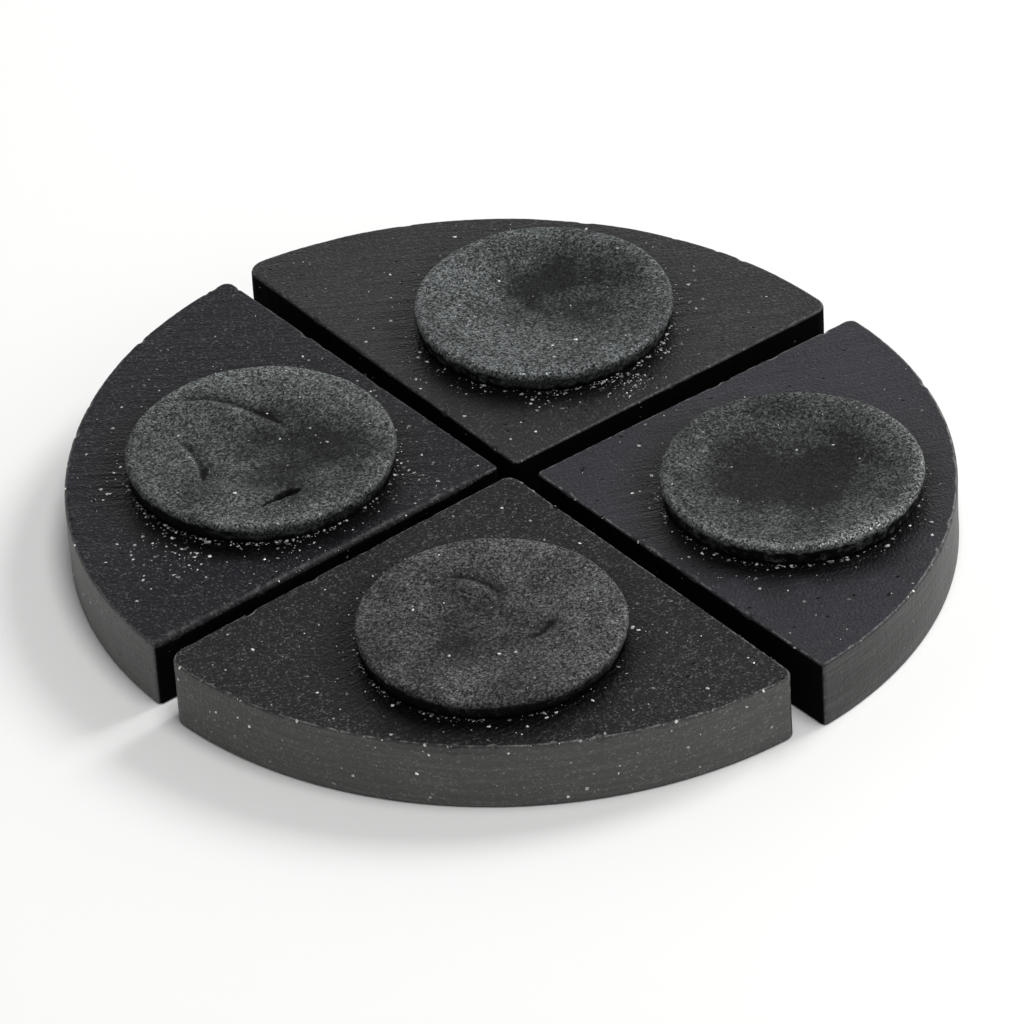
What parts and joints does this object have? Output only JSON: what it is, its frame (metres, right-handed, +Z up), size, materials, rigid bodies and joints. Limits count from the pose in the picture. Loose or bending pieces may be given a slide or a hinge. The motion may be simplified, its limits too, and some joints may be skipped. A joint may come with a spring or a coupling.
{
  "type": "charcoal and mica pigment block set",
  "caption": "Loose quarter-round blocks of ebonised wood that lie together as a round, each carrying a pressed cake of charcoal and mica black.",
  "frame": {"origin": "bottom centre of the whole round, on the surface that the blocks stand on", "axes": "+Z up through the thickness; the middles of the blocks point along +Y (back), -X (left), -Y (front) and +X (right)"},
  "size_m": [0.1304, 0.1284, 0.0138],
  "materials": {
    "ebonised_wood": "sawn, black stained, matt",
    "charcoal_cake": "pressed powder, matt with mica sparkle"
  },
  "bodies": {
    "back": {"back_block": "ebonised_wood", "back_cake": "charcoal_cake"},
    "left": {"left_block": "ebonised_wood", "left_cake": "charcoal_cake"},
    "front": {"front_block": "ebonised_wood", "front_cake": "charcoal_cake"},
    "right": {"right_block": "ebonised_wood", "right_cake": "charcoal_cake"}
  },
  "joints": [
    {"name": "left_slide", "type": "slide", "parent": "back", "child": "left", "axis": [-1, 0, 0], "range_m": [0, 0.06]},
    {"name": "front_slide", "type": "slide", "parent": "back", "child": "front", "axis": [0, -1, 0], "range_m": [0, 0.06]},
    {"name": "right_slide", "type": "slide", "parent": "back", "child": "right", "axis": [1, 0, 0], "range_m": [0, 0.06]}
  ]
}
